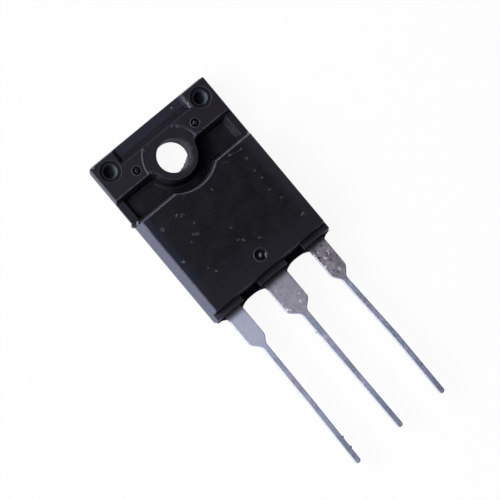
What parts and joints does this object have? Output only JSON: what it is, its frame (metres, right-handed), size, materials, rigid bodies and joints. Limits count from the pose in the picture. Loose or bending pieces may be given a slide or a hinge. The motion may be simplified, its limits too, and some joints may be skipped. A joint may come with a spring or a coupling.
{
  "type": "power transistor",
  "caption": "Power transistor in a fully moulded black package: a screw tab with a round land and a cross groove, a thick drafted block, and three flat tinned leads.",
  "frame": {"origin": "on the mounting hole's axis, in the plane of the back face", "axes": "+Z out of the front face along the mounting hole, +Y from the leads towards the mounting tab, X across the width; the part lies on its back face"},
  "size_m": [0.0154, 0.0402, 0.0054],
  "materials": {
    "moulding": "black moulding compound, satin, with a fine eroded grain",
    "collector_tin": "copper with dull tin plating",
    "base_tin": "copper with dull tin plating",
    "emitter_tin": "copper with dull, mottled tin plating",
    "silicon": "polished silicon",
    "solder": "soft solder",
    "bond_wire": "drawn aluminium wire"
  },
  "bodies": {
    "root": {"molded_body": "moulding", "collector_frame": "collector_tin", "base_lead": "base_tin", "emitter_lead": "emitter_tin", "silicon_die": "silicon", "die_solder": "solder", "base_bond_wire": "bond_wire", "emitter_bond_wire_a": "bond_wire", "emitter_bond_wire_b": "bond_wire"}
  },
  "joints": []
}
